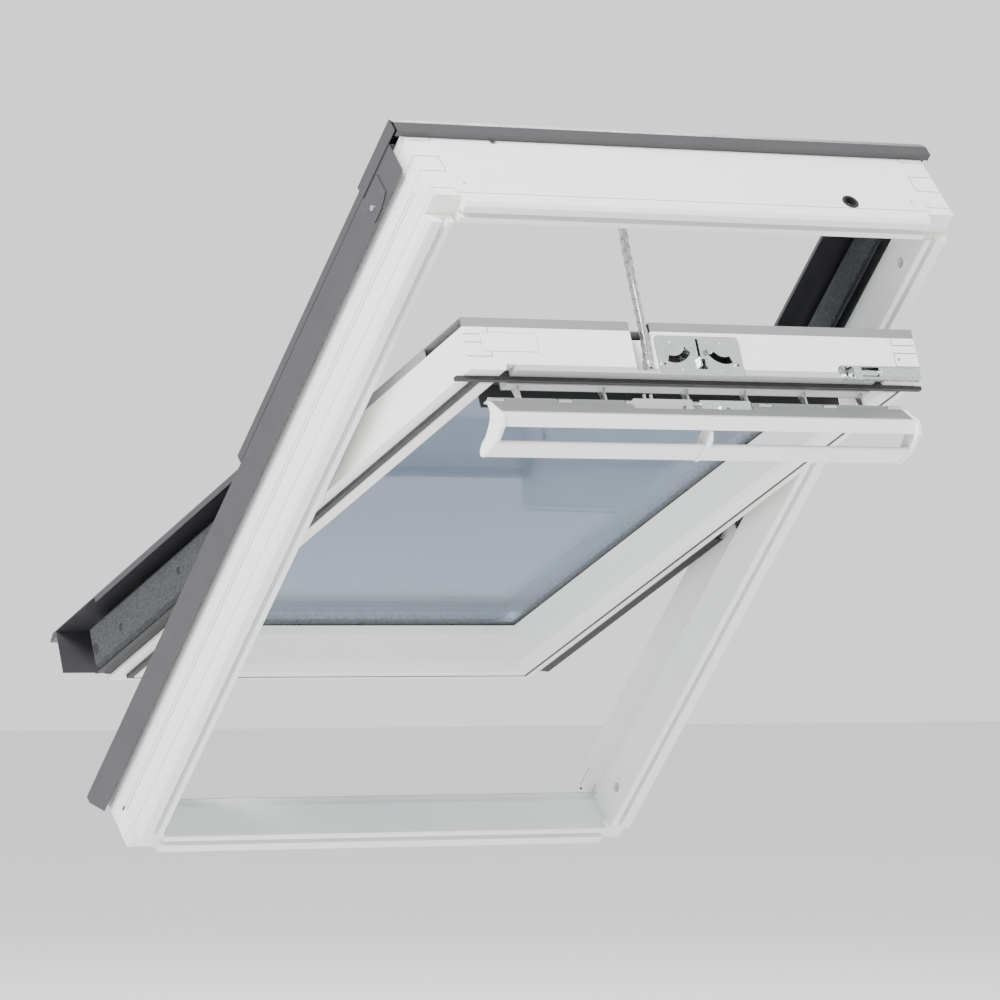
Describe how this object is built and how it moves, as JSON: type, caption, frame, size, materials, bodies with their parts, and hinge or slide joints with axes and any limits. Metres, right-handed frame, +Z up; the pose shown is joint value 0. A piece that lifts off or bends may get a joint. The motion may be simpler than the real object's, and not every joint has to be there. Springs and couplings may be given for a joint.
{
  "type": "roof skylight",
  "caption": "Centre-pivot roof window, open in its roof slope: painted timber frame and sash, metal covers, double glazing, ventilation flap and an electric chain opener.",
  "frame": {"origin": "centre of the sill's outer lower face, on the face that stands on the roof construction", "axes": "+X to the right seen from the room, -Y towards the room, +Z up, with the window in its 45 degree roof slope"},
  "size_m": [0.8062, 1.1165, 0.9394],
  "materials": {
    "white_paint": "painted, satin",
    "white_plastic": "satin",
    "flap_paint": "satin",
    "cover_grey": "satin",
    "sash_grey": "satin",
    "zinc_steel": "zinc plated",
    "bare_aluminium": "satin",
    "grey_plastic": "matt",
    "grey_foam": "expanded foam",
    "black_rubber": "matt",
    "window_glass": "clear"
  },
  "bodies": {
    "frame": {"frame_head": "white_paint", "frame_sill": "white_paint", "frame_jamb_left": "white_paint", "frame_jamb_right": "white_paint", "head_cover": "cover_grey", "hood_left": "cover_grey", "hood_right": "cover_grey", "side_strip_left": "cover_grey", "side_strip_right": "cover_grey", "cover_clips": "cover_grey", "cover_screws": "zinc_steel", "sill_cover": "cover_grey", "frame_insulation": "grey_foam", "frame_gaskets": "black_rubber", "bolt_bushes": "white_plastic", "frame_hinge_plates": "zinc_steel", "pivot_pins": "zinc_steel", "chain_actuator": "grey_plastic", "cable_grommet": "black_rubber", "chain": "zinc_steel"},
    "chain_hook": {"chain_end_fitting": "zinc_steel"},
    "sash": {"sash_top_rail": "white_paint", "sash_bottom_rail": "white_paint", "sash_stile_left": "white_paint", "sash_stile_right": "white_paint", "inner_pane": "window_glass", "outer_pane": "window_glass", "glass_spacer": "bare_aluminium", "glazing_seal": "black_rubber", "top_cladding": "sash_grey", "side_cladding": "sash_grey", "sash_cover_left": "cover_grey", "sash_cover_right": "cover_grey", "sash_bottom_cover": "cover_grey", "sash_insulation": "grey_foam", "insulation_screws": "black_rubber", "sash_gasket": "black_rubber", "sash_fins": "black_rubber", "sash_hinge_plates": "zinc_steel", "vent_channel": "grey_plastic", "vent_strips": "grey_plastic", "vent_filter": "grey_foam", "hinge_rail": "bare_aluminium", "flap_hinge_rod": "zinc_steel", "chain_bracket": "grey_plastic", "striker_bracket": "zinc_steel", "lock_case": "zinc_steel", "lock_latch": "zinc_steel", "lock_screws": "zinc_steel", "label_plate": "bare_aluminium", "bolt_track": "zinc_steel", "bolt_stop_plate": "zinc_steel"},
    "flap": {"flap_profile": "flap_paint", "grip_bar": "flap_paint", "flap_end_cap_left": "white_plastic", "flap_end_cap_right": "white_plastic", "flap_mid_support": "white_plastic"},
    "hook_left": {"lock_hook_left": "zinc_steel"},
    "hook_right": {"lock_hook_right": "zinc_steel"},
    "bolt": {"barrel_bolt": "zinc_steel"}
  },
  "joints": [
    {"name": "motor_opening", "type": "hinge", "parent": "frame", "child": "chain_hook", "pos_m": [0, -0.34577, 0.4872], "axis": [1, 0, 0], "range_deg": [-23.4, 0], "deforming": ["chain"]},
    {"name": "cleaning_turn", "type": "hinge", "parent": "chain_hook", "child": "sash", "pos_m": [0, -0.34577, 0.4872], "axis": [1, 0, 0], "range_deg": [0, 135.8]},
    {"name": "flap_tilt", "type": "hinge", "parent": "sash", "child": "flap", "pos_m": [0, -0.84463, 0.56102], "axis": [1, 0, 0], "range_deg": [-42, 0]},
    {"name": "hook_left_turn", "type": "hinge", "parent": "sash", "child": "hook_left", "pos_m": [-0.037, -0.83711, 0.63978], "axis": [0, 0.9298, -0.3681], "range_deg": [0, 56]},
    {"name": "hook_right_turn", "type": "hinge", "parent": "sash", "child": "hook_right", "pos_m": [0.039, -0.83711, 0.63978], "axis": [0, -0.9298, 0.3681], "range_deg": [0, 56]},
    {"name": "bolt_slide", "type": "slide", "parent": "sash", "child": "bolt", "axis": [1, 0, 0], "range_m": [0, 0.026]}
  ],
  "couplings": [
    {"joint": "hook_left_turn", "follows": "flap_tilt", "ratio": -1.333},
    {"joint": "hook_right_turn", "follows": "flap_tilt", "ratio": -1.333}
  ]
}
